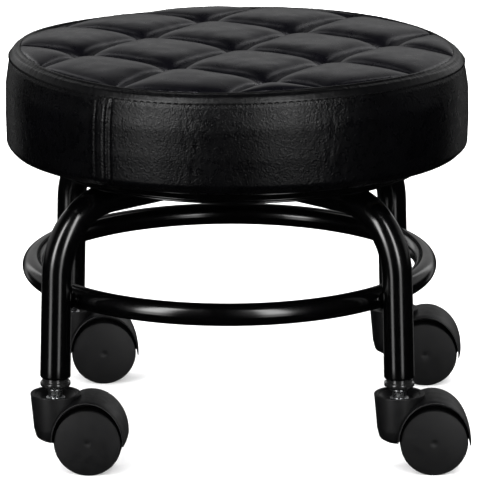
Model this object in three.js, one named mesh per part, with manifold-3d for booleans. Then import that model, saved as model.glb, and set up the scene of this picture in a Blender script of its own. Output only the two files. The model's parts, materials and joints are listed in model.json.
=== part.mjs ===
// A low round rolling stool: a quilted seat turning on a ball-bearing swivel plate, four bent tube legs
// round a foot ring, and four twin-wheel casters. Millimetres, +Z up, front at -Y.
// The origin is on the floor, on the axis that the seat turns about.
import * as THREE from "three";
import { mergeVertices } from "three/addons/utils/BufferGeometryUtils.js";
import Module from "manifold-3d";

// ---- driving dimensions -------------------------------------------------------------------------
const GAP = 0.3; // left between neighbouring pieces
const FRAME_X = -6; // the leg frame's centre, a few millimetres off the seat's axis

const WHEEL_RADIUS = 25.4;
const CASTER_TRAIL = 25.5; // stem axis to axle, level
const WHEEL_OUTER = 19.3; // wheel's outer face, from the caster's middle plane
const AXLE_RADIUS = 3;
const AXLE_HALF = 14; // half the axle's length
const WEB_HALF = 3.8; // half the thickness of the housing's wall between the wheels
const CUP_RIM_Z = 59.5; // top of the caster's stem cup
const CUP_RADIUS = 18.9; // at its rim
const CUP_WALL = 2.7;
const CUP_DEPTH = 5.5;
const HOOD_RADIUS = 30; // level, from the axle
const HOOD_STRETCH = 1.12; // the hood is this much taller than it is wide
const HOOD_WIDTH = 41;
const STEM_RADIUS = 4;

const LEG_AZIMUTH = 43; // degrees from the X axis, the same for all four legs
const LEG_RADIUS = 11.5; // outside of the leg tube
const LEG_WALL = 1.5;
const LEG_BEND = 52.5; // bend radius on the tube's centre line
const LEG_SPLAY = 2.1; // degrees that the straight part leans outwards
const LEG_FOOT = 175.5; // frame centre to the foot, level
const LEG_END_Z = 71;
const FLANGE_RADIUS = 11.2; // the bead that closes the foot of each leg
const FLANGE_HEIGHT = 6.4;
const ARM_Z = 200.5; // centre line of the level arms under the seat
const ARM_START = 13.5; // the arms stop just short of each other at the centre

const RING_RADIUS = 150.2; // centre line of the foot ring
const RING_TUBE = 8.5;
const RING_Z = 128.4;

const PLATE_SIDE = 110; // the square plates of the swivel
const PLATE_THICK = 2.5;
const BALL_RADIUS = 1.8;
const RACE_RADIUS = 38;
const RIVET_RADIUS = 5;

const PAN_RADIUS = 146;
const PAN_RIM_Z = 211.2;
const PAN_SHOULDER = 11; // radius of the rounding between its floor and its rim
const STEEL = 1.5;
const SCREW_RADIUS = 2.1;
const SCREW_REACH = 64; // seat axis to each seat screw

const BOARD_RADIUS = 169;
const BOARD_THICK = 12;
const SEAT_RADIUS = 175.5; // widest part of the cushion's side
const HEM_INNER = 151;
const HEM_THICK = 1;
const COVER = 2.2; // vinyl with its backing foam
const SIDE_SEAM = [172.5, 290]; // radius and height of the seam at the top of the side band
const PANEL_SEAM = [164.5, 296.6]; // radius and height of the seam round the quilted panel
const CROWN_Z = 303; // flat top of the quilted panel
const CROWN_EDGE = 14; // width of the slope round it

const SEAT_SIDES = 32; // facets round the seat's pieces
const TUBE_SIDES = 12;
const WHEEL_SIDES = 20; // a multiple of 4, so that a flat facet meets the floor

// ---- levels worked out from them ----------------------------------------------------------------
const LOWER_PLATE_Z = ARM_Z + LEG_RADIUS + GAP;
const RACE_Z = LOWER_PLATE_Z + PLATE_THICK + GAP + BALL_RADIUS; // centres of the balls
const UPPER_PLATE_Z = RACE_Z + BALL_RADIUS + GAP;
const PAN_Z = UPPER_PLATE_Z + PLATE_THICK + GAP;
const HEM_Z = PAN_Z + STEEL + GAP;
const BOARD_Z = HEM_Z + HEM_THICK + GAP;
const SCREW_TOP_Z = BOARD_Z + BOARD_THICK - 3;
const FOAM_Z = BOARD_Z + BOARD_THICK + GAP;
const BULGE_Z = [HEM_Z + 24, HEM_Z + 42]; // the side band is widest between these
const FLANGE_TOP_Z = LEG_END_Z - GAP - 0.5;
const FLANGE_Z = FLANGE_TOP_Z - FLANGE_HEIGHT;
const STEM_TOP_Z = LEG_END_Z + 15;
const CUP_FLOOR_Z = CUP_RIM_Z - CUP_DEPTH;
const SOCKET_Z = CUP_RIM_Z - 12; // blind end of the hole that the stem stands in
const WHEEL_INNER = WEB_HALF + GAP + 0.1;
const HOUSING_ROOM = WHEEL_RADIUS + 1.9; // what the hood leaves free round the wheels

const radians = THREE.MathUtils.degToRad;

const MATERIALS = {
  vinyl: { color: 0x141416, roughness: 0.42, metalness: 0 },
  foam: { color: 0xd8cfa8, roughness: 0.95, metalness: 0 },
  plywood: { color: 0xb48a5a, roughness: 0.7, metalness: 0 },
  dust_cloth: { color: 0x1a1a1a, roughness: 1, metalness: 0 },
  black_enamel: { color: 0x08080a, roughness: 0.14, metalness: 0 },
  zinc_steel: { color: 0xb9bbbd, roughness: 0.35, metalness: 1 },
  bearing_steel: { color: 0xcfd2d4, roughness: 0.15, metalness: 1 },
  gloss_plastic: { color: 0x0b0b0c, roughness: 0.25, metalness: 0 },
  caster_nylon: { color: 0x1b1b1c, roughness: 0.6, metalness: 0 },
};

// ---- solids -------------------------------------------------------------------------------------
const wasm = await Module();
wasm.setup();

function solid(geometry) {
  const bare = new THREE.BufferGeometry();
  bare.setAttribute("position", geometry.getAttribute("position"));
  bare.setIndex(geometry.index);
  const merged = mergeVertices(bare, 1e-3);
  const vertProperties = merged.attributes.position.array;
  const triVerts = new Uint32Array(merged.index.array);
  return new wasm.Manifold(new wasm.Mesh({ numProp: 3, vertProperties, triVerts }));
}

function join(...geometries) {
  return mesh(geometries.map(solid).reduce((whole, piece) => whole.add(piece)));
}

function cut(geometry, ...tools) {
  return mesh(tools.map(solid).reduce((whole, tool) => whole.subtract(tool), solid(geometry)));
}

function mesh(manifold) {
  const { numProp, vertProperties, triVerts } = manifold.getMesh();
  const count = vertProperties.length / numProp;
  const points = new Float32Array(count * 3);
  for (let i = 0; i < count; i++) {
    points.set(vertProperties.subarray(i * numProp, i * numProp + 3), i * 3);
  }
  const geometry = new THREE.BufferGeometry();
  geometry.setAttribute("position", new THREE.BufferAttribute(points, 3));
  geometry.setIndex(new THREE.BufferAttribute(triVerts, 1));
  return geometry;
}

// A profile of [radius, height] pairs turned about the Y axis, with its faces pointing outwards.
function lathe(profile, sides, start = 0) {
  const points = profile.map(([radius, height]) => new THREE.Vector2(radius, height));
  if (THREE.ShapeUtils.area(points) < 0) points.reverse();
  return new THREE.LatheGeometry(points, sides, start);
}

function turned(profile, sides) {
  return lathe(profile, sides).rotateX(Math.PI / 2);
}

// About the Z axis, a profile that closes on itself and leaves a hole.
function turnedRing(profile, sides) {
  return turned([...profile, profile[0]], sides);
}

// A round bar standing on the Z axis from one height to another.
function bar(radius, low, high, sides = 12) {
  return new THREE.CylinderGeometry(radius, radius, high - low, sides)
    .rotateX(Math.PI / 2)
    .translate(0, 0, (low + high) / 2);
}

// The same, lying along Y.
function crossBar(radius, low, high, sides = 12) {
  return new THREE.CylinderGeometry(radius, radius, high - low, sides).translate(0, (low + high) / 2, 0);
}

function circle(radius, sides) {
  const turn = (i) => ((i + 0.5) / sides) * 2 * Math.PI;
  return Array.from({ length: sides }, (_, i) =>
    new THREE.Vector2(radius * Math.cos(turn(i)), radius * Math.sin(turn(i))),
  );
}

const root = new THREE.Group();

function add(name, materialName, geometry, parent = root) {
  geometry.computeVertexNormals();
  const piece = new THREE.Mesh(geometry, new THREE.MeshStandardMaterial(MATERIALS[materialName]));
  piece.name = name;
  parent.add(piece);
  return piece;
}

// ---- seat ---------------------------------------------------------------------------------------
const screwPlaces = [45, 135, 225, 315].map((turn) => [
  SCREW_REACH * Math.cos(radians(turn)),
  SCREW_REACH * Math.sin(radians(turn)),
]);

function screwHoles(low, high) {
  return screwPlaces.map(([x, y]) => bar(SCREW_RADIUS + GAP, low, high).translate(x, y, 0));
}

function addQuiltedPanel() {
  const [radius, z] = PANEL_SEAM;
  const crownR = radius - CROWN_EDGE;
  const shoulder = [radius - CROWN_EDGE / 3, z + (CROWN_Z - z) * 0.65];
  const top = [[0, CROWN_Z], [crownR, CROWN_Z], shoulder, [radius, z]];
  const under = [[radius - GAP, z - COVER], [crownR - COVER, CROWN_Z - COVER], [0, CROWN_Z - COVER]];
  add("quilted_seat_panel", "vinyl", turned([...top, ...under], SEAT_SIDES));
}

// The plain strip that slopes down from the quilted panel to the side band.
function addSeamStrip() {
  const [innerR, innerZ] = PANEL_SEAM;
  const [outerR, outerZ] = SIDE_SEAM;
  const edge = 0.7;
  const profile = [
    [innerR + GAP, innerZ],
    [outerR, outerZ + GAP + edge],
    [outerR, outerZ + GAP],
    [outerR - COVER - GAP, outerZ + GAP],
    [outerR - COVER - 2 * edge, outerZ - edge],
    [innerR + GAP, innerZ - COVER],
  ];
  add("seat_seam_strip", "vinyl", turnedRing(profile, SEAT_SIDES));
}

// The side band bulges a little, rounds under the board and ends in a stapled hem.
function addSideBand() {
  const [seamR, seamZ] = SIDE_SEAM;
  const [lowZ, highZ] = BULGE_Z;
  const foldRadius = 4;
  const outside = [
    [HEM_INNER, HEM_Z],
    [SEAT_RADIUS - 2 * foldRadius, HEM_Z],
    [SEAT_RADIUS - COVER, HEM_Z + foldRadius],
    [SEAT_RADIUS, lowZ],
    [SEAT_RADIUS, highZ],
    [seamR, seamZ],
  ];
  const inside = [
    [seamR - COVER, seamZ - GAP],
    [SEAT_RADIUS - COVER, highZ],
    [SEAT_RADIUS - COVER, lowZ],
    [BOARD_RADIUS + GAP, HEM_Z + HEM_THICK],
    [HEM_INNER, HEM_Z + HEM_THICK],
  ];
  add("seat_side_band", "vinyl", turnedRing([...outside, ...inside], SEAT_SIDES));
}

function addFoamPad() {
  const [seamR, seamZ] = SIDE_SEAM;
  const slack = 1; // between the foam and its cover
  const topZ = CROWN_Z - COVER - 2 * slack;
  const profile = [
    [0, FOAM_Z],
    [BOARD_RADIUS, FOAM_Z],
    [SEAT_RADIUS - COVER - slack, BULGE_Z[1] - COVER],
    [seamR - COVER - 2.5 * slack, seamZ - 4 * slack],
    [PANEL_SEAM[0] - CROWN_EDGE, topZ],
    [0, topZ],
  ];
  add("foam_pad", "foam", turned(profile, SEAT_SIDES));
}

function addSeatBoard() {
  const disc = bar(BOARD_RADIUS, BOARD_Z, BOARD_Z + BOARD_THICK, SEAT_SIDES);
  add("seat_board", "plywood", cut(disc, ...screwHoles(HEM_Z, SCREW_TOP_Z + 1)));
}

function addDustCover() {
  const disc = bar(HEM_INNER - GAP, HEM_Z, HEM_Z + HEM_THICK, SEAT_SIDES);
  add("dust_cover", "dust_cloth", cut(disc, ...screwHoles(PAN_Z, BOARD_Z)));
}

// A pressed dish, open below: a flat floor, a rounded shoulder and a rim turned in at its lower edge.
function addSeatPan() {
  const top = PAN_Z + STEEL;
  const hole = RIVET_RADIUS + 7;
  const corner = PAN_SHOULDER * (1 - Math.SQRT1_2);
  const wallTop = top - PAN_SHOULDER * 0.7;
  const outside = [
    [hole, top],
    [PAN_RADIUS - PAN_SHOULDER, top],
    [PAN_RADIUS - corner, top - corner],
    [PAN_RADIUS, wallTop],
    [PAN_RADIUS, PAN_RIM_Z],
  ];
  const inside = [
    [PAN_RADIUS - STEEL, PAN_RIM_Z],
    [PAN_RADIUS - STEEL, wallTop],
    [PAN_RADIUS - PAN_SHOULDER, PAN_Z],
    [hole, PAN_Z],
  ];
  const dish = turnedRing([...outside, ...inside], SEAT_SIDES);
  add("seat_pan", "black_enamel", cut(dish, ...screwHoles(UPPER_PLATE_Z, BOARD_Z)));
}

function addSeatScrews() {
  const headTop = UPPER_PLATE_Z - GAP;
  const headThick = 1.4;
  screwPlaces.forEach(([x, y], i) => {
    const screw = join(
      bar(SCREW_RADIUS, headTop - headThick / 2, SCREW_TOP_Z, 8),
      bar(SCREW_RADIUS + 2, headTop - headThick, headTop, 8),
    );
    add(`seat_screw_${i + 1}`, "zinc_steel", screw).position.set(x, y, 0);
  });
}

// ---- swivel plate -------------------------------------------------------------------------------
function plate(low) {
  return new THREE.BoxGeometry(PLATE_SIDE, PLATE_SIDE, PLATE_THICK).translate(0, 0, low + PLATE_THICK / 2);
}

function addSwivelPlates() {
  const rivetHole = bar(RIVET_RADIUS + GAP, ARM_Z, HEM_Z, 16);
  add("swivel_lower_plate", "zinc_steel", cut(plate(LOWER_PLATE_Z), rivetHole));
  const holes = screwHoles(RACE_Z, HEM_Z);
  add("swivel_upper_plate", "zinc_steel", cut(plate(UPPER_PLATE_Z), rivetHole, ...holes));
}

// Twelve balls held by their cage.
function addBallRace() {
  const cageHalf = 0.5;
  const cageReach = 3;
  const count = 12;
  const profile = [
    [RACE_RADIUS - cageReach, RACE_Z - cageHalf],
    [RACE_RADIUS + cageReach, RACE_Z - cageHalf],
    [RACE_RADIUS + cageReach, RACE_Z + cageHalf],
    [RACE_RADIUS - cageReach, RACE_Z + cageHalf],
  ];
  const balls = Array.from({ length: count }, (_, i) =>
    new THREE.SphereGeometry(BALL_RADIUS, 6, 4)
      .rotateX(Math.PI / 2)
      .translate(RACE_RADIUS, 0, RACE_Z)
      .rotateZ((i / count) * 2 * Math.PI),
  );
  add("ball_race", "bearing_steel", join(turnedRing(profile, 24), ...balls));
}

// The rivet that the upper plate turns on: a head under the lower plate and one over the upper plate.
function addSwivelRivet() {
  const shank = RIVET_RADIUS - GAP;
  const lowR = RIVET_RADIUS + 3;
  const lowZ = LOWER_PLATE_Z - GAP;
  const highR = RIVET_RADIUS + 4;
  const highTop = PAN_Z + STEEL - GAP;
  const profile = [
    [0, lowZ - 1.6],
    [lowR, lowZ - 1],
    [lowR, lowZ],
    [shank, lowZ],
    [shank, PAN_Z],
    [highR, PAN_Z],
    [highR, highTop - 0.5],
    [0, highTop],
  ];
  add("swivel_rivet", "zinc_steel", turned(profile, 16));
}

// ---- leg frame ----------------------------------------------------------------------------------
const CORNERS = [
  { name: "front_left", azimuth: 180 + LEG_AZIMUTH, casterYaw: -4 },
  { name: "front_right", azimuth: -LEG_AZIMUTH, casterYaw: 2 },
  { name: "back_left", azimuth: 180 - LEG_AZIMUTH, casterYaw: 5 },
  { name: "back_right", azimuth: LEG_AZIMUTH, casterYaw: -3 },
];

// The leg's centre line in the plane of its arm: level, then round the bend, then down to the foot.
// Its stations are spread by parameter, one for each end and several round the bend.
class BentLegLine extends THREE.Curve {
  static bendSteps = 7;
  static steps = BentLegLine.bendSteps + 2;

  getUtoTmapping(u) {
    return u;
  }

  getPoint(t) {
    const station = t * BentLegLine.steps;
    const turn = radians(90 - LEG_SPLAY);
    const drop = (height) => Math.tan(radians(LEG_SPLAY)) * height;
    const bendEndZ = ARM_Z - LEG_BEND * (1 - Math.cos(turn));
    const bendStart = LEG_FOOT - drop(bendEndZ - LEG_END_Z) - LEG_BEND * Math.sin(turn);
    if (station <= 1) {
      return new THREE.Vector3(THREE.MathUtils.lerp(ARM_START, bendStart, station), 0, ARM_Z);
    }
    const along = Math.min((station - 1) / BentLegLine.bendSteps, 1);
    const x = bendStart + LEG_BEND * Math.sin(turn * along);
    const z = ARM_Z - LEG_BEND * (1 - Math.cos(turn * along));
    const below = Math.max(station - 1 - BentLegLine.bendSteps, 0);
    const height = (bendEndZ - LEG_END_Z) * below;
    return new THREE.Vector3(x + drop(height), 0, z - height);
  }
}

function legTube() {
  const section = new THREE.Shape(circle(LEG_RADIUS, TUBE_SIDES));
  section.holes.push(new THREE.Path(circle(LEG_RADIUS - LEG_WALL, TUBE_SIDES)));
  return new THREE.ExtrudeGeometry(section, {
    extrudePath: new BentLegLine(),
    steps: BentLegLine.steps,
    bevelEnabled: false,
  });
}

// The ring touches the legs only through four short weld beads, which are part of it.
function addFootRing(frame) {
  const section = circle(RING_TUBE, 10).map((p) => [RING_RADIUS + p.x, RING_Z + p.y]);
  const beadRadius = 4;
  const toLeg = Math.tan(radians(LEG_SPLAY)) * (RING_Z - LEG_END_Z);
  const beadEnd = LEG_FOOT - toLeg - LEG_RADIUS - GAP;
  const beads = CORNERS.map(({ azimuth }) =>
    new THREE.CylinderGeometry(beadRadius, beadRadius, beadEnd - RING_RADIUS, 8)
      .rotateZ(Math.PI / 2)
      .translate((beadEnd + RING_RADIUS) / 2, 0, RING_Z)
      .rotateZ(radians(azimuth)),
  );
  add("foot_ring", "black_enamel", join(turnedRing(section, 36), ...beads), frame);
}

// A bead-shaped flange closes the tube's end; its plug grips the caster's stem.
function insertGeometry() {
  const bore = STEM_RADIUS + 2 * GAP;
  const plug = LEG_RADIUS - LEG_WALL - 1.3;
  const plugTop = FLANGE_TOP_Z + 18;
  const profile = [
    [bore, FLANGE_Z],
    [FLANGE_RADIUS * 0.8, FLANGE_Z],
    [FLANGE_RADIUS * 0.97, FLANGE_Z + FLANGE_HEIGHT * 0.25],
    [FLANGE_RADIUS, FLANGE_Z + FLANGE_HEIGHT * 0.5],
    [FLANGE_RADIUS * 0.97, FLANGE_Z + FLANGE_HEIGHT * 0.8],
    [FLANGE_RADIUS * 0.88, FLANGE_TOP_Z],
    [plug, FLANGE_TOP_Z],
    [plug, plugTop],
    [bore, plugTop],
  ];
  return turnedRing(profile, TUBE_SIDES);
}

// A plain pin with a collar over the cup's socket, a neck and a second collar under the leg's flange.
function stemGeometry() {
  const collarThick = 1.6;
  const lowCollar = STEM_RADIUS + 3.2;
  const lowZ = CUP_FLOOR_Z + GAP;
  const neck = STEM_RADIUS + 1.2;
  const highCollar = STEM_RADIUS + 2.2;
  const highZ = FLANGE_Z - GAP;
  const profile = [
    [0, SOCKET_Z + 2 * GAP],
    [STEM_RADIUS, SOCKET_Z + 2 * GAP],
    [STEM_RADIUS, lowZ],
    [lowCollar, lowZ],
    [lowCollar, lowZ + collarThick],
    [neck, lowZ + collarThick],
    [neck, highZ - collarThick],
    [highCollar, highZ - collarThick],
    [highCollar, highZ],
    [STEM_RADIUS, highZ],
    [STEM_RADIUS, STEM_TOP_Z],
    [0, STEM_TOP_Z],
  ];
  return turned(profile, 8);
}

// ---- casters ------------------------------------------------------------------------------------
const axle = (geometry) => geometry.translate(CASTER_TRAIL, 0, WHEEL_RADIUS);
const stretched = (geometry) => axle(geometry.scale(1, 1, HOOD_STRETCH));

// The hood is a rounded fender over both wheels, filled in here and opened where the wheels go.
function hoodBlank() {
  const bevel = { bevelThickness: 4, bevelSize: 2.2, bevelSegments: 1 };
  const front = radians(1.5);
  const back = radians(178);
  const outline = new THREE.Shape();
  outline.moveTo(0, 0);
  outline.absarc(0, 0, HOOD_RADIUS - bevel.bevelSize, front, back, false);
  outline.closePath();
  const depth = HOOD_WIDTH - 2 * bevel.bevelThickness;
  const options = { depth, steps: 1, curveSegments: 7, bevelEnabled: true, ...bevel };
  const blank = new THREE.ExtrudeGeometry(outline, options);
  return stretched(blank.translate(0, 0, -depth / 2).rotateX(Math.PI / 2));
}

// The cup tapers down to a rounded foot, and its floor has the stem's socket.
function stemCup() {
  const footZ = 22.5;
  const socket = STEM_RADIUS + 2 * GAP;
  const profile = [
    [0, footZ],
    [CUP_RADIUS * 0.5, footZ],
    [CUP_RADIUS * 0.78, footZ + 2.5],
    [CUP_RADIUS * 0.9, footZ + 8.5],
    [CUP_RADIUS, CUP_RIM_Z],
    [CUP_RADIUS - CUP_WALL, CUP_RIM_Z],
    [CUP_RADIUS - CUP_WALL, CUP_FLOOR_Z],
    [socket, CUP_FLOOR_Z],
    [socket, SOCKET_Z],
    [0, SOCKET_Z],
  ];
  return turned(profile, 16);
}

// Cup, hood, the wall between the wheels and its hub, less the rooms for the stem and the wheels.
function housingGeometry() {
  const cupRoom = bar(CUP_RADIUS - CUP_WALL, CUP_FLOOR_Z, CUP_RIM_Z + CUP_DEPTH, 16);
  const stemRoom = bar(STEM_RADIUS + 2 * GAP, SOCKET_Z, CUP_RIM_Z, 12);
  const hood = cut(hoodBlank(), cupRoom, stemRoom);
  const hub = axle(crossBar(AXLE_RADIUS + 4, -WEB_HALF, WEB_HALF, 16));
  const rooms = [
    stretched(crossBar(HOUSING_ROOM, WEB_HALF, HOOD_WIDTH, 22)),
    stretched(crossBar(HOUSING_ROOM, -HOOD_WIDTH, -WEB_HALF, 22)),
  ];
  const pinHole = axle(crossBar(AXLE_RADIUS + GAP, -HOOD_WIDTH, HOOD_WIDTH, 12));
  return cut(join(stemCup(), hood, hub), ...rooms, pinHole);
}

// A domed disc with a flat tread and a blind hub for the axle, on the +Y side of the housing.
function wheelGeometry() {
  const tread = WHEEL_RADIUS / Math.cos(Math.PI / WHEEL_SIDES);
  const hub = AXLE_RADIUS + GAP;
  const hubEnd = AXLE_HALF + 2 * GAP;
  const profile = [
    [0, hubEnd],
    [hub, hubEnd],
    [hub, WHEEL_INNER],
    [tread - 0.8, WHEEL_INNER],
    [tread, WHEEL_INNER + 0.8],
    [tread, WHEEL_OUTER - 2.8],
    [tread - 1, WHEEL_OUTER - 1.8],
    [tread * 0.6, WHEEL_OUTER - 0.7],
    [0, WHEEL_OUTER],
  ];
  return lathe(profile, WHEEL_SIDES, Math.PI / WHEEL_SIDES);
}

function addCaster(corner, foot) {
  const caster = new THREE.Group();
  caster.rotation.z = radians(corner.casterYaw);
  foot.add(caster);
  add(`caster_housing_${corner.name}`, "caster_nylon", housingGeometry(), caster);
  const pin = axle(crossBar(AXLE_RADIUS, -AXLE_HALF, AXLE_HALF, 12));
  add(`caster_axle_${corner.name}`, "zinc_steel", pin, caster);
  add(`wheel_far_${corner.name}`, "caster_nylon", axle(wheelGeometry()), caster);
  add(`wheel_near_${corner.name}`, "caster_nylon", axle(wheelGeometry().rotateX(Math.PI)), caster);
}

function addFrame() {
  const frame = new THREE.Group();
  frame.position.x = FRAME_X;
  root.add(frame);
  addFootRing(frame);
  for (const corner of CORNERS) {
    const arm = new THREE.Group();
    arm.rotation.z = radians(corner.azimuth);
    frame.add(arm);
    add(`leg_${corner.name}`, "black_enamel", legTube(), arm);
    const foot = new THREE.Group();
    foot.position.x = LEG_FOOT;
    foot.rotation.z = -arm.rotation.z;
    arm.add(foot);
    add(`leg_insert_${corner.name}`, "gloss_plastic", insertGeometry(), foot);
    add(`caster_stem_${corner.name}`, "zinc_steel", stemGeometry(), foot);
    addCaster(corner, foot);
  }
}

addQuiltedPanel();
addSeamStrip();
addSideBand();
addFoamPad();
addSeatBoard();
addDustCover();
addSeatPan();
addSeatScrews();
addSwivelPlates();
addBallRace();
addSwivelRivet();
addFrame();

export default root;
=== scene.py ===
"""A low round rolling stool: a quilted vinyl seat on a swivel plate, four bent tube legs welded to a foot
ring, and four twin-wheel casters. Sizes below are in millimetres and meshes in metres, in the CAD frame."""
import json
import math

import bmesh
import bpy
import numpy as np
from mathutils import Matrix, Vector, noise

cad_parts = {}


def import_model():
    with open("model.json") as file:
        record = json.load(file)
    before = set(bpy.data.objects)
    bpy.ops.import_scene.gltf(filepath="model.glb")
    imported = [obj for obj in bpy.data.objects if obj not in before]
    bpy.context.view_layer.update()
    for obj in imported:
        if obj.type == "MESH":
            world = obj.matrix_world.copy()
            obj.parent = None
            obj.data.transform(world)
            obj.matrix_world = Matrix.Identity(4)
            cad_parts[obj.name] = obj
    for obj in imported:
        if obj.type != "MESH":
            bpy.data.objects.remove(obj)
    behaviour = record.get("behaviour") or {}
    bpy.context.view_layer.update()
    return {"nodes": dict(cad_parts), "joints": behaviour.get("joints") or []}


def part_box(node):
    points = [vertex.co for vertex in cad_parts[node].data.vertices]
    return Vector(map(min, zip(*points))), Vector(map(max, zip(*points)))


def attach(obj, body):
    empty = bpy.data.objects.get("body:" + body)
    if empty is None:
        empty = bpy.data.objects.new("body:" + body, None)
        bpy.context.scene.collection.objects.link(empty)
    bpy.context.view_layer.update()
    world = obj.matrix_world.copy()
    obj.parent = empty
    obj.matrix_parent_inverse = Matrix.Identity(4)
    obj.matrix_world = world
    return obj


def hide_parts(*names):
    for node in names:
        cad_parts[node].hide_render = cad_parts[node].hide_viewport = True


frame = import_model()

MM = 0.001
CORNERS = ("front_left", "front_right", "back_left", "back_right")
TURN = 2 * math.pi

# ---- sizes --------------------------------------------------------------------------------------
FRAME_X = -6.0            # the leg frame's centre, level with the foot ring's
LEG_RADIUS = 11.5
LEG_WALL = 1.5
LEG_BEND = 52.5           # bend radius on the tube's centre line
LEG_SPLAY = math.radians(2.1)
LEG_END_Z = 71.0
ARM_Z = 200.5
ARM_START = 13.5
RING_RADIUS = 150.2
RING_TUBE = 8.5
RING_Z = 128.4
WHEEL_RADIUS = 25.4
CASTER_TRAIL = 25.5
HOOD_SHAPE = (0.96, 1, 1.13)  # the hood is drawn in from front to back and stretched upwards
HOOD_ARC = (-2.0, 177.0)      # degrees about the axle, from the trailing edge over the top to the stem's side
HOOD_CREST = 29.2             # outer radius at the middle of the hood
HOOD_LIP = 28.4               # and at its two sides
HOOD_INNER = 27.6
HOOD_HALF = 20.5              # half the hood's width
WEB_HALF = 3.8            # half the thickness of the caster's wall between the wheels
CUP_RIM_Z = 59.5
CUP_RADIUS = 18.9
CUP_WALL = 2.5
CUP_FLOOR_Z = CUP_RIM_Z - 5.0
PANEL_SEAM = (164.5, 296.5)   # radius and height of the seam round the quilted panel
PANEL_RIM = PANEL_SEAM[0] + 1.0
SIDE_SEAM = (172.5, 289.8)    # the same for the topstitched seam over the side band
SEAT_RADIUS = 175.5
HEM_INNER = 151.0
HEM_Z = 223.6
QUILT_PITCH = 82.8            # side of one sewn square
QUILT_TURN = math.radians(57.0)
QUILT_CENTRE = (-0.3, -10.0)
QUILT_VALLEY_Z = 287.5
QUILT_LOFT = 15.6
VALLEY_POWER = 12             # the higher, the nearer to the rim the valleys rise to the seam
EDGE_POWER = 9                # the higher, the nearer to the rim the pillows close
EDGE_SOFTNESS = 0.25          # the higher, the less steeply they close
EDGE_FULL = 0.781             # the closing curve's value in the middle, by which it is divided
PILLOW_POWER = 3.8            # the higher, the flatter a pillow's top
PILLOW_ROOT = 0.38            # the lower, the steeper a pillow's sides
PANEL_SLACK = ((0.5, 30, 3.1), (0.25, 11, 7.7))   # height, scale and seed of each ripple
STITCH_PITCH = 5.3
LEAN_RIGHT = math.radians(0.385)  # the cushion leans a little
LEAN_BACK = math.radians(1.24)
HEM_SAG = 4.1                     # the band hangs this far under the hem's inner edge
HEM_TILT = 0.008                  # and this much more for each millimetre towards the back
HEM_TURN = 11.0                   # the hem's width over which the sag sets in
SEAM_WAVES = ((2, 0.39, 150.0), (3, 1.55, 101.0))   # round the seams: count, height, phase in degrees


# ---- meshes -------------------------------------------------------------------------------------
def new_object(name, points, faces, crease=35.0):
    """A smooth-shaded mesh object from points in millimetres, with edges above the crease angle sharp."""
    mesh = bpy.data.meshes.new(name)
    mesh.from_pydata((np.asarray(points, float) * MM).tolist(), [], [list(f) for f in faces])
    mesh.validate()
    mesh.polygons.foreach_set("use_smooth", [True] * len(mesh.polygons))
    mesh.set_sharp_from_angle(angle=math.radians(crease))
    mesh.update()
    piece = bpy.data.objects.new(name, mesh)
    bpy.context.scene.collection.objects.link(piece)
    return piece


def finish_piece(piece, body, material, nodes=()):
    piece.data.materials.clear()
    piece.data.materials.append(material)
    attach(piece, body)
    if nodes:
        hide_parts(*nodes)
    return piece


def ring_faces(rings, sides, closed_rings=False):
    """Quads between consecutive rings of points, all of the same length."""
    faces = []
    for i in range(rings if closed_rings else rings - 1):
        for j in range(sides):
            a, b = i * sides + j, i * sides + (j + 1) % sides
            c, d = ((i + 1) % rings) * sides + (j + 1) % sides, ((i + 1) % rings) * sides + j
            faces.append((a, b, c, d))
    return faces


def filleted(corners, closed=False, steps=5):
    """A polyline with its corners rounded. Each corner is (a, b) or (a, b, radius)."""
    pts = []
    count = len(corners)
    for i, corner in enumerate(corners):
        here = Vector(corner[:2])
        radius = corner[2] if len(corner) > 2 else 0.0
        if radius == 0.0 or (not closed and i in (0, count - 1)):
            pts.append(tuple(here))
            continue
        before = Vector(corners[i - 1][:2]) - here
        after = Vector(corners[(i + 1) % count][:2]) - here
        half = before.angle(after) / 2
        cut = min(radius / math.tan(half), before.length * 0.49, after.length * 0.49)
        radius = cut * math.tan(half)
        start, end = here + before.normalized() * cut, here + after.normalized() * cut
        middle = here + (before.normalized() + after.normalized()).normalized() * radius / math.sin(half)
        sweep = (start - middle).angle_signed(end - middle)
        for k in range(steps + 1):
            spoke = (start - middle).copy()
            spoke.rotate(Matrix.Rotation(-sweep * k / steps, 2))
            pts.append(tuple(middle + spoke))
    return pts


def area_of(profile):
    return sum(a[0] * b[1] - b[0] * a[1] for a, b in zip(profile, profile[1:] + profile[:1])) / 2


def turned(profile, sides, closed=True):
    """Points and faces of a (radius, height) profile turned about Z. An open one has its ends on the axis."""
    if area_of(profile) < 0:
        profile = profile[::-1]
    angles = np.arange(sides) * TURN / sides
    points, rings = [], []
    for radius, height in profile:
        if radius < 1e-6:
            rings.append([len(points)])
            points.append((0, 0, height))
            continue
        rings.append(list(range(len(points), len(points) + sides)))
        points += [(radius * math.cos(a), radius * math.sin(a), height) for a in angles]
    faces = []
    pairs = list(zip(rings, rings[1:] + rings[:1])) if closed else list(zip(rings, rings[1:]))
    for low, high in pairs:
        for j in range(sides):
            k = (j + 1) % sides
            if len(low) == 1 and len(high) == 1:
                continue
            if len(low) == 1:
                faces.append((low[0], high[k], high[j]))
            elif len(high) == 1:
                faces.append((low[j], low[k], high[0]))
            else:
                faces.append((low[j], low[k], high[k], high[j]))
    return np.array(points), faces


def placed(points, matrix):
    m = np.array(matrix)
    return np.asarray(points) @ m[:3, :3].T + m[:3, 3]


def joined(parts):
    """Several (points, faces) pairs as one."""
    points, faces, base = [], [], 0
    for p, f in parts:
        points.append(np.asarray(p, float))
        faces += [tuple(i + base for i in face) for face in f]
        base += len(p)
    return np.vstack(points), faces


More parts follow.
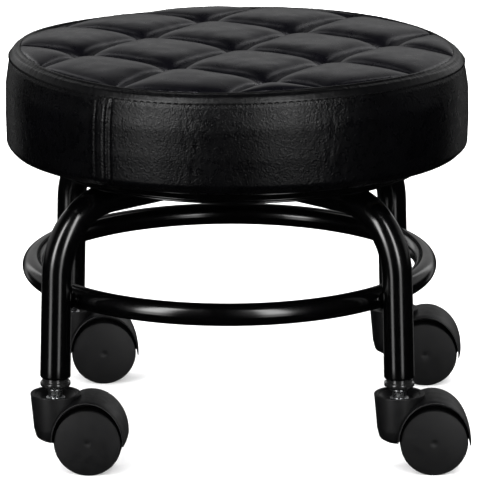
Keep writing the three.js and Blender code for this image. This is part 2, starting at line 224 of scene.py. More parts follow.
def boolean(piece, other, operation):
    """Applies one boolean with another object, which is then removed."""
    modifier = piece.modifiers.new("cut", "BOOLEAN")
    modifier.operation, modifier.object, modifier.solver = operation, other, "EXACT"
    graph = bpy.context.evaluated_depsgraph_get()
    result = bpy.data.meshes.new_from_object(piece.evaluated_get(graph))
    piece.modifiers.clear()
    piece.data = result
    bpy.data.objects.remove(other)


def ripple(x, y, z, scale, seed=0.0):
    """Smooth noise from -1 to 1 at a point in millimetres, with features of about that scale."""
    return noise.noise(Vector((x / scale + seed, y / scale - seed, z / scale + 2 * seed)))


def lean(points):
    """The cushion leans right and back, and its seams wave. Inside the hem its underside is level."""
    points = np.array(points, float)
    x, y, z = points.T
    share = np.clip((z - HEM_Z) / (PANEL_SEAM[1] - HEM_Z), 0, 1)
    hem = np.clip((np.hypot(x, y) - HEM_INNER) / HEM_TURN, 0, 1)
    drop = y * math.tan(LEAN_BACK) * np.maximum(share, hem) + (HEM_SAG + HEM_TILT * y) * hem * (1 - share)
    drop += x * math.tan(LEAN_RIGHT) * share
    out = np.clip(np.hypot(x, y) / PANEL_SEAM[0], 0, 1) ** 3
    for count, height, phase in SEAM_WAVES:
        drop -= share * out * height * np.cos(count * np.arctan2(x, -y) - math.radians(phase))
    points[:, 2] -= drop
    return points


# ---- materials ----------------------------------------------------------------------------------
NOISE_LOW, NOISE_HIGH = 0.3, 0.7  # most of a noise node's values lie between these
RANGE_SOCKETS = ("From Min", "From Max", "To Min", "To Max")


class Nodes:
    """A material under construction: a principled shader, object coordinates in metres and helpers."""

    def __init__(self, name, **values):
        self.material = bpy.data.materials.new(name)
        self.material.use_nodes = True
        self.tree = self.material.node_tree
        self.shader = self.tree.nodes["Principled BSDF"]
        for key, value in values.items():
            self.shader.inputs[key.replace("_", " ")].default_value = value
        self.place = self.tree.nodes.new("ShaderNodeTexCoord").outputs["Object"]
        self.normal = None

    def link(self, a, b):
        self.tree.links.new(a, b)

    def stretched(self, scale):
        node = self.tree.nodes.new("ShaderNodeMapping")
        node.inputs["Scale"].default_value = scale
        self.link(self.place, node.inputs["Vector"])
        return node.outputs["Vector"]

    def noise(self, size, detail=3.0, vector=None, distortion=0.0):
        """Noise with features of about that size in millimetres."""
        node = self.tree.nodes.new("ShaderNodeTexNoise")
        node.inputs["Scale"].default_value = 1 / (size * MM)
        node.inputs["Detail"].default_value = detail
        node.inputs["Distortion"].default_value = distortion
        self.link(vector or self.place, node.inputs["Vector"])
        return node.outputs["Fac"]

    def cells(self, size, feature="F1"):
        node = self.tree.nodes.new("ShaderNodeTexVoronoi")
        node.feature = feature
        node.inputs["Scale"].default_value = 1 / (size * MM)
        self.link(self.place, node.inputs["Vector"])
        return node.outputs["Distance"]

    def bump(self, height, depth):
        """Adds relief of that depth in millimetres."""
        node = self.tree.nodes.new("ShaderNodeBump")
        node.inputs["Distance"].default_value = depth * MM
        node.inputs["Strength"].default_value = 1.0
        self.link(height, node.inputs["Height"])
        if self.normal:
            self.link(self.normal, node.inputs["Normal"])
        self.normal = node.outputs["Normal"]
        self.link(self.normal, self.shader.inputs["Normal"])

    def span(self, value, low, high, socket):
        """Drives a number of the shader from low to high with a noise value."""
        node = self.tree.nodes.new("ShaderNodeMapRange")
        for key, number in zip(RANGE_SOCKETS, (NOISE_LOW, NOISE_HIGH, low, high)):
            node.inputs[key].default_value = number
        self.link(value, node.inputs["Value"])
        self.link(node.outputs["Result"], self.shader.inputs[socket])

    def tint(self, value, dark, light, start=NOISE_LOW, end=NOISE_HIGH):
        """Takes the colour from dark to light as the value goes from start to end."""
        node = self.tree.nodes.new("ShaderNodeValToRGB")
        node.color_ramp.elements[0].position, node.color_ramp.elements[1].position = start, end
        node.color_ramp.elements[0].color = (*dark, 1)
        node.color_ramp.elements[1].color = (*light, 1)
        self.link(value, node.inputs["Fac"])
        self.link(node.outputs["Color"], self.shader.inputs["Base Color"])


def panel_vinyl():
    """Smooth vinyl with a fine brushed grain."""
    m = Nodes("panel_vinyl", Roughness=0.28, Specular_IOR_Level=0.5, Specular_Tint=(0.95, 0.94, 1.0, 1.0))
    m.tint(m.noise(25), (0.0005, 0.0005, 0.0009), (0.0011, 0.0010, 0.0017))
    m.span(m.noise(9), 0.26, 0.33, "Roughness")
    m.bump(m.noise(1.1, 4, m.stretched((0.35, 1.0, 1.0))), 0.05)
    m.bump(m.cells(0.9), 0.03)
    return m.material


def strip_vinyl():
    """The same vinyl pulled tight between two seams."""
    m = Nodes("strip_vinyl", Roughness=0.34, Specular_IOR_Level=0.3)
    m.tint(m.noise(30), (0.0002, 0.0002, 0.0003), (0.0005, 0.0005, 0.0007))
    m.span(m.noise(5), 0.3, 0.38, "Roughness")
    m.bump(m.noise(1.4, 3), 0.12)
    return m.material


def band_vinyl():
    """Pebbled vinyl, stretched round the side."""
    m = Nodes("band_vinyl", Roughness=0.3, Specular_IOR_Level=0.22)
    m.tint(m.noise(30), (0.0002, 0.0002, 0.0003), (0.0005, 0.0005, 0.0007))
    m.span(m.noise(6), 0.24, 0.34, "Roughness")
    m.bump(m.noise(1.5, 3, m.stretched((1.0, 1.0, 0.8)), 0.6), 0.24)
    m.bump(m.cells(1.3, "SMOOTH_F1"), 0.18)
    return m.material


def enamel():
    """Black enamel over steel, glossy, with a faint orange peel."""
    m = Nodes("black_enamel", Roughness=0.18, Specular_IOR_Level=0.5)
    m.tint(m.noise(20), (0.0002, 0.0002, 0.0002), (0.0004, 0.0004, 0.0005))
    m.span(m.noise(14), 0.14, 0.2, "Roughness")
    m.bump(m.noise(5.0, 2), 0.012)
    return m.material


def nylon():
    """Moulded nylon with a fine spark-eroded texture."""
    m = Nodes("caster_nylon", Roughness=0.44, Specular_IOR_Level=0.34)
    m.tint(m.noise(8), (0.0006, 0.0006, 0.0007), (0.0013, 0.0013, 0.0015))
    m.span(m.noise(5), 0.42, 0.52, "Roughness")
    m.bump(m.noise(0.55, 3), 0.05)
    return m.material


def gloss_plastic():
    m = Nodes("gloss_plastic", Roughness=0.16, Specular_IOR_Level=0.6)
    m.tint(m.noise(5), (0.003, 0.003, 0.003), (0.006, 0.006, 0.006))
    m.span(m.noise(3), 0.12, 0.22, "Roughness")
    m.bump(m.noise(2.0), 0.02)
    return m.material


def zinc_steel():
    """Bright zinc plate, slightly mottled."""
    m = Nodes("zinc_steel", Metallic=1.0, Roughness=0.28)
    m.tint(m.cells(6.0), (0.42, 0.43, 0.44), (0.62, 0.63, 0.64), 0.0, 0.9)
    m.span(m.noise(2), 0.2, 0.36, "Roughness")
    m.bump(m.noise(0.8), 0.02)
    return m.material


def bearing_steel():
    m = Nodes("bearing_steel", Metallic=1.0, Roughness=0.12)
    m.tint(m.noise(2), (0.55, 0.56, 0.57), (0.68, 0.69, 0.7))
    m.span(m.noise(1.5), 0.08, 0.2, "Roughness")
    return m.material


def thread():
    m = Nodes("thread", Roughness=0.8, Specular_IOR_Level=0.1)
    m.tint(m.noise(0.6), (0.0004, 0.0004, 0.0004), (0.0015, 0.0015, 0.0018))
    m.span(m.noise(0.4), 0.75, 0.9, "Roughness")
    m.bump(m.noise(0.25), 0.05)
    return m.material


def foam():
    m = Nodes("foam", Roughness=0.95)
    m.tint(m.cells(1.4), (0.42, 0.35, 0.2), (0.72, 0.64, 0.42), 0.0, 0.6)
    m.span(m.noise(2), 0.88, 1.0, "Roughness")
    m.bump(m.cells(1.4), 0.5)
    return m.material


def plywood():
    m = Nodes("plywood", Roughness=0.6)
    grain = m.noise(14, 6, m.stretched((0.12, 1.0, 1.0)), 1.2)
    m.tint(grain, (0.3, 0.17, 0.08), (0.52, 0.34, 0.18))
    m.span(grain, 0.5, 0.7, "Roughness")
    m.bump(grain, 0.1)
    return m.material


def dust_cloth():
    """Thin non-woven cloth with its point-bonded pattern."""
    m = Nodes("dust_cloth", Roughness=0.9)
    m.tint(m.noise(1.2, 5), (0.006, 0.006, 0.006), (0.02, 0.02, 0.02))
    m.span(m.noise(2.5), 0.8, 0.98, "Roughness")
    m.bump(m.cells(1.6), 0.12)
    m.bump(m.noise(0.5, 5), 0.08)
    return m.material


MATERIALS = {make.__name__: make() for make in (
    panel_vinyl, strip_vinyl, band_vinyl, enamel, nylon, gloss_plastic, zinc_steel, bearing_steel, thread,
    foam, plywood, dust_cloth)}


# ---- cushion ------------------------------------------------------------------------------------
def quilt_point(u, v):
    """The place on the panel of a point given in sewn squares."""
    c, s = math.cos(QUILT_TURN), math.sin(QUILT_TURN)
    return (QUILT_CENTRE[0] + QUILT_PITCH * (u * c + v * s), QUILT_CENTRE[1] + QUILT_PITCH * (u * s - v * c))


def quilt_height(u, v, radius):
    """Height of the quilted panel over the floor: pillows between the sewn lines, closing at the seam."""
    near = min(radius / PANEL_RIM, 1.0)
    rim_z = PANEL_SEAM[1] - 1.2
    base = QUILT_VALLEY_Z + (rim_z - QUILT_VALLEY_Z) * near ** VALLEY_POWER
    closing = math.sqrt(max(1 - near ** EDGE_POWER, 0.0) + EDGE_SOFTNESS ** 2)
    edge = (closing - EDGE_SOFTNESS) / EDGE_FULL
    pillow = 1.0
    for place in (u, v):
        across = abs(2 * (place - math.floor(place)) - 1)
        pillow *= max(1 - across ** PILLOW_POWER, 0.0) ** PILLOW_ROOT
    return base + QUILT_LOFT * pillow * edge


def panel_surface(step):
    """The panel's top: a grid laid along the sewn lines, cut round at the seam."""
    half = math.ceil(PANEL_RIM * 1.05 / QUILT_PITCH / step)
    index, points = {}, []
    for i in range(-half, half + 1):
        for j in range(-half, half + 1):
            u, v = i * step, j * step
            x, y = quilt_point(u, v)
            radius = math.hypot(x, y)
            if radius > PANEL_RIM + 0.5 * step * QUILT_PITCH:
                continue
            if radius > PANEL_RIM - 0.5 * step * QUILT_PITCH:
                x, y, radius = x * PANEL_RIM / radius, y * PANEL_RIM / radius, PANEL_RIM
            index[i, j] = len(points)
            slack = sum(height * ripple(x, y, 0, scale, seed) for height, scale, seed in PANEL_SLACK)
            points.append((x, y, quilt_height(u, v, radius) + slack * (1 - (radius / PANEL_RIM) ** 6)))
    faces = []
    for i, j in index:
        corner = [index.get(k) for k in ((i, j), (i, j + 1), (i + 1, j + 1), (i + 1, j))]
        if None not in corner:
            faces.append(tuple(corner))
    return np.array(points), faces


def stitch(start, end, out, radius):
    """One thread stitch from start to end, bowed outwards, as a closed capsule."""
    rise, sunk, tip = 2.2, 1.1, 0.35      # height of the bow, depth and width of its ends, in radii
    start, end, out = Vector(start), Vector(end), Vector(out).normalized()
    along = (end - start).normalized()
    side = along.cross(out).normalized()
    rings, sides = 7, 6
    points = []
    for i in range(rings):
        t = i / (rings - 1)
        middle = start.lerp(end, t) + out * (radius * (rise * math.sin(math.pi * t) - sunk))
        r = radius * (tip + (1 - tip) * math.sin(math.pi * min(max(t, 0.08), 0.92)) ** 0.5)
        for j in range(sides):
            a = TURN * j / sides
            points.append(tuple(middle + side * (r * math.cos(a)) + out * (r * math.sin(a))))
    faces = ring_faces(rings, sides)
    faces.append(tuple(range(sides))[::-1])
    faces.append(tuple(range((rings - 1) * sides, rings * sides)))
    return np.array(points), faces


def thicken(piece, thickness):
    modifier = piece.modifiers.new("thickness", "SOLIDIFY")
    modifier.thickness, modifier.offset = thickness * MM, -1.0
    graph = bpy.context.evaluated_depsgraph_get()
    piece.data = bpy.data.meshes.new_from_object(piece.evaluated_get(graph))
    piece.modifiers.clear()


def quilted_panel():
    points, faces = panel_surface(1 / 40)
    piece = new_object("quilted_panel", lean(points), faces, 60)
    thicken(piece, 1.6)
    finish_piece(piece, "seat", MATERIALS["panel_vinyl"], ["quilted_seat_panel"])


def quilt_stitches():
    parts = []
    count = int(2 * PANEL_SEAM[0] / STITCH_PITCH)
    for line in range(-2, 3):
        for flip in (False, True):
            for k in range(-count // 2, count // 2 + 1):
                ends = []
                for offset in (-0.38, 0.38):
                    along = (k + offset) * STITCH_PITCH / QUILT_PITCH
                    u, v = (along, line) if flip else (line, along)
                    x, y = quilt_point(u, v)
                    ends.append((x, y, quilt_height(u, v, math.hypot(x, y)) - 0.1))
                if all(math.hypot(x, y) < PANEL_SEAM[0] - 3 for x, y, _ in ends):
                    parts.append(stitch(*ends, (0, 0, 1), 0.4))
    points, faces = joined(parts)
    piece = new_object("quilt_stitches", lean(points), faces)
    finish_piece(piece, "seat", MATERIALS["thread"])


def revolved(name, profile, sides, shape):
    """A closed ring of (radius, height) rows; shape(angle, radius, height) moves each point."""
    if area_of(profile) > 0:
        profile = profile[::-1]
    points = []
    for radius, height in profile:
        for j in range(sides):
            angle = TURN * j / sides
            r, z = shape(angle, radius, height)
            points.append((r * math.sin(angle), -r * math.cos(angle), z))
    return new_object(name, lean(points), ring_faces(len(profile), sides, closed_rings=True), 60)


def resampled(points, step):
    """The same polyline with points every step or so."""
    out = []
    for a, b in zip(points, points[1:]):
        pieces = max(1, round(math.dist(a, b) / step))
        out += [tuple(np.add(a, np.multiply(np.subtract(b, a), k / pieces))) for k in range(pieces)]
    return out + [points[-1]]


def rounded(row):
    """A profile's row as a key that two equal rows share."""
    return round(row[0], 4), round(row[1], 4)


def seam_strip():
    """The plain strip between the panel's seam and the topstitched one, gathered a little by its stitches."""
    (inner_r, inner_z), (outer_r, outer_z) = PANEL_SEAM, SIDE_SEAM
    outline = filleted([
        (inner_r - 0.6, inner_z - 2.2), (inner_r - 0.2, inner_z + 0.5, 0.8),
        (inner_r + 1.6, inner_z + 0.4, 0.9), (inner_r + 2.6, inner_z - 0.9, 0.8),
        (inner_r + 5.2, inner_z - 1.9, 5.0), (outer_r - 0.2, outer_z + 0.9, 2.0),
        (outer_r, outer_z - 0.4)], steps=4)
    outside = resampled(outline, 0.8)
    inside = [(outer_r - 1.6, outer_z - 0.6), (inner_r + 1.0, inner_z - 2.4)]
    last = len(outside) - 1
    row_share = {rounded(row): math.sin(math.pi * k / last) for k, row in enumerate(outside)}

    def shape(angle, radius, height):
        share = row_share.get(rounded((radius, height)), 0.0)
        x, y = math.cos(angle) * inner_r, math.sin(angle) * inner_r
        gather = ripple(x, y, height * 0.3, 1.7, 5.0) + 0.5 * ripple(x, y, height, 5.5, 9.0)
        return radius, height + 0.22 * gather * share

    piece = revolved("seam_strip", outside + inside, 1300, shape)
    finish_piece(piece, "seat", MATERIALS["strip_vinyl"], ["seat_seam_strip"])


LAP_ANGLE = math.radians(-31.4)       # where the side band's ends lap, from the front towards the left
LAP_ROWS = (-4.2, -12.3)              # its two stitch rows, in millimetres from the fold
LAP_WIDTH = 16.0
LAP_THICKNESS = 0.9
FOLD_GROOVE = 1.0
ROW_GROOVE = 0.55
# Vertical creases of the band: azimuth and spread in degrees, and depth in millimetres.
CREASES = ((-9.0, 3.6, 0.6), (24.0, 4.0, 0.5), (-60.0, 5.0, 0.5), (80.0, 5.0, 0.6), (150.0, 6.0, 0.8))


def band_outline():
    """The side band's outer face from the hem up to the topstitched seam."""
    seam_r, seam_z = SIDE_SEAM
    return filleted([
        (HEM_INNER, HEM_Z - 0.2), (SEAT_RADIUS - 6, HEM_Z - 0.2, 5.0), (SEAT_RADIUS - 0.3, HEM_Z + 5.5, 6.0),
        (SEAT_RADIUS + 0.5, HEM_Z + 26, 40.0), (SEAT_RADIUS + 0.1, HEM_Z + 48, 40.0),
        (seam_r + 0.5, seam_z - 3.0, 3.0), (seam_r - 0.5, seam_z - 0.2)],
        steps=9)


def lap_relief(arc):
    """Relief of the lapped seam at a distance along the band from its fold, in millimetres."""
    relief = LAP_THICKNESS / 4 * (1 + math.tanh(arc + LAP_WIDTH)) * (1 - math.tanh((arc + 0.6) / 0.6))
    relief -= FOLD_GROOVE * math.exp(-((arc - 0.4) / 0.9) ** 2)
    for row in LAP_ROWS:
        relief -= ROW_GROOVE * math.exp(-((arc - row) / 0.8) ** 2)
    return relief


def band_relief(angle, height):
    """How far the band's face stands out from its outline: the lap, vertical creases and slack."""
    turn = (angle - LAP_ANGLE + math.pi) % TURN - math.pi
    relief = lap_relief(turn * SEAT_RADIUS)
    x, y = math.cos(angle) * SEAT_RADIUS, math.sin(angle) * SEAT_RADIUS
    relief += 0.5 * ripple(x, y, height, 60, 2.0) + 0.15 * ripple(x, y, height * 0.5, 17, 4.0)
    slack = 0.06
    for place, spread, depth in CREASES:
        off = (math.degrees(angle) - place + 180) % 360 - 180
        slack += depth * math.exp(-(off / spread) ** 2)
    wander = 3.0 * ripple(x, y, height, 16, 1.0)
    fold = ripple(x + wander + 0.25 * height, y, height * 0.35, 3.2, 6.0)
    return relief + slack * (0.2 - abs(fold)) * 0.8


def side_band():
    outside = resampled(band_outline(), 2.4)
    seam_r, seam_z = SIDE_SEAM
    inside = [(seam_r - 3.0, seam_z - 1.4), (SEAT_RADIUS - 3.2, HEM_Z + 40),
              (SEAT_RADIUS - 11.5, HEM_Z + 2.4), (HEM_INNER, HEM_Z + 1)]
    outer = {rounded(row) for row in outside}

    def shape(angle, radius, height):
        if rounded((radius, height)) not in outer:
            return radius, height
        hold = min((seam_z - height) / 9.0, 1.0) * min(max(radius - HEM_INNER, 0.0) / 22.0, 1.0)
        stand = band_relief(angle, height) * max(hold, 0.0)
        return (radius + stand if height > HEM_Z + 3 else radius), height

    piece = revolved("side_band", outside + inside, 1000, shape)
    finish_piece(piece, "seat", MATERIALS["band_vinyl"], ["seat_side_band"])


def band_stitches():
    """The topstitching round the cushion and the two rows down the lap."""
    parts = []
    radius, height = SIDE_SEAM[0] + 0.1, SIDE_SEAM[1] - 0.1
    count = round(TURN * radius / STITCH_PITCH)
    for k in range(count):
        ends = []
        for offset in (-0.36, 0.36):
            a = TURN * (k + offset) / count
            ends.append((radius * math.sin(a), -radius * math.cos(a), height))
        a = TURN * k / count
        parts.append(stitch(*ends, (math.sin(a), -math.cos(a), 0.9), 0.5))
    outline = band_outline()
    for row in LAP_ROWS:
        a = LAP_ANGLE + row / SEAT_RADIUS
        out = (math.sin(a), -math.cos(a), 0)
        z = HEM_Z + 9.0
        while z < SIDE_SEAM[1] - 7:
            ends = []
            for end_z in (z, z + STITCH_PITCH * 0.72):
                heights = [p[1] for p in outline]
                r = float(np.interp(end_z, heights, [p[0] for p in outline])) + band_relief(a, end_z) + 0.15
                ends.append((r * out[0], r * out[1], end_z))
            parts.append(stitch(*ends, out, 0.45))
            z += STITCH_PITCH
    points, faces = joined(parts)
    piece = new_object("band_stitches", lean(points), faces)
    finish_piece(piece, "seat", MATERIALS["thread"])


def foam_block():
    low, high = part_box("foam_pad")
    radius, bottom = high.x / MM, low.z / MM
    top = QUILT_VALLEY_Z - 3.5
    corners = [(0, bottom), (radius - 5, bottom, 4), (radius - 0.5, bottom + 22, 14),
               (radius - 5, top - 5, 5), (PANEL_SEAM[0] - 12, top, 10), (0, top)]
    points, faces = turned(filleted(corners), 128, closed=False)
    soft = [(x, y, z + (0.5 * ripple(x, y, z, 22, 8.0) if z > bottom + 1 else 0)) for x, y, z in points]
    piece = new_object("foam_block", lean(soft), faces)
    finish_piece(piece, "seat", MATERIALS["foam"], ["foam_pad"])


def seat_board():
    """Plywood, with its lower edge rounded over where the vinyl wraps round it."""
    low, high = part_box("seat_board")
    radius, bottom, top = high.x / MM, low.z / MM, high.z / MM
    points, faces = turned(filleted([(0, bottom), (radius, bottom, 9.0), (radius, top, 1.0), (0, top)]), 128,
                           closed=False)
    piece = new_object("plywood_board", points, faces)
    finish_piece(piece, "seat", MATERIALS["plywood"], ["seat_board"])


def dust_cover():
    """A cloth disc stapled under the seat board, with a faint slack in it."""
    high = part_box("dust_cover")[1]
    radius, top = high.x / MM - 0.4, high.z / MM
    rings, sides = 26, 160
    points = [(0, 0, top - 0.45)]
    for i in range(1, rings + 1):
        r = radius * i / rings
        for j in range(sides):
            a = TURN * j / sides
            x, y = r * math.cos(a), r * math.sin(a)
            points.append((x, y, top - 0.45 + 0.25 * ripple(x, y, 0, 26, 11.0)))
    faces = [(0, 1 + j, 1 + (j + 1) % sides) for j in range(sides)]
    faces += [tuple(1 + n for n in f)[::-1] for f in ring_faces(rings, sides)]
    piece = new_object("dust_cover_cloth", points, faces)
    thicken(piece, 0.3)
    finish_piece(piece, "seat", MATERIALS["dust_cloth"], ["dust_cover"])


def seat_pan():
    low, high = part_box("seat_pan")
    radius, rim, top = high.x / MM, low.z / MM, high.z / MM
    steel, hole = 1.5, 12
    shoulder, slope = radius - 14, 3.4      # where the flat top ends, and how far it falls from there
    wall, bead = radius - 1.8, radius - 0.5   # the foot of the wall, and the rim's rolled bead
    corners = [(hole, top, 0.4), (shoulder, top, 8), (radius, top - slope, 2.6), (wall, rim + 2.2, 0.6),
               (bead, rim + 1.6, 0.7), (bead, rim, 0.8), (wall - steel, rim, 0.5),
               (wall - 0.2 - steel, rim + 3, 1.5), (radius - steel, top - slope - steel, 1.2),
               (shoulder, top - steel, 8), (hole, top - steel, 0.4)]
    points, faces = turned(filleted(corners, closed=True, steps=7), 192)
    piece = new_object("pressed_pan", points, faces)
    finish_piece(piece, "seat", MATERIALS["enamel"], ["seat_pan"])


# ---- leg frame ----------------------------------------------------------------------------------
def foot_of(corner):
    low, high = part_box(f"caster_stem_{corner}")
    return (low + high) / 2 / MM


def leg_line(foot_radius):
    """Centre line of a leg in the plane of its arm: (radius, height, direction) from the arm's end down."""
    turn = math.pi / 2 - LEG_SPLAY
    bend_end_z = ARM_Z - LEG_BEND * (1 - math.cos(turn))
    bend_start = foot_radius - math.tan(LEG_SPLAY) * (bend_end_z - LEG_END_Z) - LEG_BEND * math.sin(turn)
    line = [(r, ARM_Z, 0.0) for r in np.linspace(ARM_START, bend_start, 8)[:-1]]
    for k in range(29):
        t = turn * k / 28
        line.append((bend_start + LEG_BEND * math.sin(t), ARM_Z - LEG_BEND * (1 - math.cos(t)), t))
    end_r = line[-1][0]
    for k in range(1, 9):
        drop = (bend_end_z - LEG_END_Z) * k / 8
        line.append((end_r + math.tan(LEG_SPLAY) * drop, bend_end_z - drop, turn))
    return line


def leg(corner):
    foot = foot_of(corner)
    level = Vector((foot.x - FRAME_X, foot.y))
    out = level.normalized()
    line = leg_line(level.length)
    sides = 48
    end_round = 2.2
    flattened, widened = 0.025, 0.015     # how far the bend squeezes the tube, as shares of its radius

    def ring(station, radius, back=0.0):
        r, z, turn = station
        r, z = r - back * math.cos(turn), z + back * math.sin(turn)
        bent = math.sin(min(turn / (math.pi / 2), 1.0) * math.pi)
        rows = []
        for j in range(sides):
            a = TURN * j / sides
            up = math.cos(a) * radius * (1 - flattened * bent)
            side = math.sin(a) * radius * (1 + widened * bent)
            along_r, along_z = r + up * math.sin(turn), z + up * math.cos(turn)
            rows.append((FRAME_X + out.x * along_r - out.y * side, out.y * along_r + out.x * side, along_z))
        return rows

    points = ring(line[0], LEG_RADIUS - LEG_WALL) + ring(line[0], LEG_RADIUS - 0.3)
    points += ring(line[0], LEG_RADIUS, -0.3)
    for station in line[1:-1]:
        points += ring(station, LEG_RADIUS)
    end = line[-1]
    for k in range(7):
        t = math.pi / 2 * k / 6
        points += ring(end, LEG_RADIUS - end_round * (1 - math.cos(t)), end_round * (1 - math.sin(t)))
    inner = LEG_RADIUS - LEG_WALL
    points += ring(end, inner - 0.2, 1.2)
    for station in line[1:-1][::-1]:
        points += ring(station, inner)
    rings = len(points) // sides
    faces = [f[::-1] for f in ring_faces(rings, sides, closed_rings=True)]
    piece = new_object(f"leg_tube_{corner}", points, faces)
    finish_piece(piece, "frame", MATERIALS["enamel"], [f"leg_{corner}"])


def weld_bead(corner):
    """A lumpy bead that fills the gap between the foot ring and a leg."""
    foot = foot_of(corner)
    azimuth = math.atan2(foot.y, foot.x - FRAME_X)
    start = RING_RADIUS + RING_TUBE - 3.2
    leg_here = math.hypot(foot.x - FRAME_X, foot.y) - math.tan(LEG_SPLAY) * (RING_Z - LEG_END_Z)
    reach = leg_here - LEG_RADIUS + 1.4
    rings, sides = 12, 28
    middle_radius, flare = 4.6, 2.2       # the bead's radius half way, and how much wider its ends are
    points = []
    for i in range(rings):
        t = i / (rings - 1)
        along = start + (reach - start) * t
        waist = middle_radius + flare * abs(2 * t - 1) ** 2
        for j in range(sides):
            a = TURN * j / sides
            lump = 0.35 * ripple(math.cos(a) * 6, math.sin(a) * 6, along + azimuth * 40, 2.6, 1.5)
            r = waist + lump + 0.25 * math.cos(5 * a + azimuth)
            points.append((along, r * 1.25 * math.cos(a), RING_Z + r * 0.95 * math.sin(a)))
    faces = ring_faces(rings, sides)
    faces.append(tuple(range(sides))[::-1])
    faces.append(tuple(range((rings - 1) * sides, rings * sides)))
    turn = Matrix.Translation((FRAME_X, 0, 0)) @ Matrix.Rotation(azimuth, 4, "Z")
    return placed(points, turn), faces


def foot_ring():
    sides, steps = 40, 192
    points = []
    for i in range(steps):
        a = TURN * i / steps
        for j in range(sides):
            b = TURN * j / sides
            r = RING_RADIUS + RING_TUBE * math.cos(b)
            points.append((FRAME_X + r * math.cos(a), r * math.sin(a), RING_Z + RING_TUBE * math.sin(b)))
    piece = new_object("foot_ring_tube", points, ring_faces(steps, sides, closed_rings=True))
    finish_piece(piece, "frame", MATERIALS["enamel"], ["foot_ring"])
    points, faces = joined([weld_bead(corner) for corner in CORNERS])
    beads = new_object("foot_ring_welds", points, faces)
    finish_piece(beads, "frame", MATERIALS["enamel"])


def leg_end(corner):
    """The bead-shaped end fitting of the leg and the caster's stem."""
    foot = foot_of(corner)
    place = Matrix.Translation((foot.x, foot.y, 0))
    low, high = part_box(f"leg_insert_{corner}")
    bottom, top = low.z / MM, LEG_END_Z - 0.6
    plug = LEG_RADIUS - LEG_WALL - 0.4
    corners = [(4.6, bottom, 0.4), (9.0, bottom, 0.5), (9.3, bottom + 1.3, 0.4), (11.3, bottom + 1.5, 1.0),
               (11.4, bottom + 4.2, 1.2), (9.9, bottom + 5.4, 0.5), (9.9, top, 0.4), (plug, top, 0.2),
               (plug, top + 18, 0.5), (4.6, top + 18, 0.3)]
    points, faces = turned(filleted(corners, closed=True), 64)
    piece = new_object(f"leg_end_{corner}", placed(points, place), faces)
    finish_piece(piece, "frame", MATERIALS["gloss_plastic"], [f"leg_insert_{corner}"])
    low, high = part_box(f"caster_stem_{corner}")
    bottom, top = low.z / MM, high.z / MM
    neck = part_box(f"leg_insert_{corner}")[0].z / MM - 0.3
    collar = CUP_FLOOR_Z + 0.2
    corners = [(0, bottom), (4, bottom, 0.6), (4, collar, 0.2), (7.2, collar, 0.4),
               (7.2, collar + 1.6, 0.5), (5.2, collar + 1.6, 0.3), (5.2, neck - 1.6, 0.3),
               (6.4, neck - 1.6, 0.4), (6.4, neck, 0.4), (4, neck, 0.2), (4, top, 1.0), (0, top)]
    points, faces = turned(filleted(corners), 40, closed=False)
    piece = new_object(f"stem_{corner}", placed(points, place), faces)
    finish_piece(piece, "frame", MATERIALS["zinc_steel"], [f"caster_stem_{corner}"])


# ---- casters ------------------------------------------------------------------------------------
def caster_yaw(corner):
    axis = next(j["axis"] for j in frame["joints"] if j["name"] == f"wheel_spin_near_{corner}")
    return math.atan2(-axis[0], axis[1])


def caster_place(corner):
    foot = foot_of(corner)
    return Matrix.Translation((foot.x, foot.y, 0)) @ Matrix.Rotation(caster_yaw(corner), 4, "Z")


AXLE = Matrix.Translation((CASTER_TRAIL, 0, WHEEL_RADIUS)) @ Matrix.Rotation(-math.pi / 2, 4, "X")


def arc_solid(profile, start, end, steps):
    """A closed (radius, along) profile taken round the axle between two angles, in the hood's shape."""
    if area_of(profile) < 0:
        profile = profile[::-1]
    points = []
    for i in range(steps + 1):
        a = start + (end - start) * i / steps
        for radius, along in profile:
            x, z = HOOD_SHAPE[0] * radius * math.cos(a), HOOD_SHAPE[2] * radius * math.sin(a)
            points.append((CASTER_TRAIL + x, along, WHEEL_RADIUS + z))
    sides = len(profile)
    faces = [f[::-1] for f in ring_faces(steps + 1, sides)]
    faces.append(tuple(range(sides)))
    faces.append(tuple(range(steps * sides, (steps + 1) * sides))[::-1])
    return points, faces


def outward(piece):
    """Turns the faces of a closed mesh so that they face outwards."""
    bm = bmesh.new()
    bm.from_mesh(piece.data)
    bmesh.ops.recalc_face_normals(bm, faces=bm.faces)
    bm.to_mesh(piece.data)
    bm.free()
    return piece


def cylinder(name, radius, low, high, sides=48, matrix=None):
    points, faces = turned([(0, low), (radius, low), (radius, high), (0, high)], sides, closed=False)
    return outward(new_object(name, placed(points, matrix or Matrix.Identity(4)), faces))


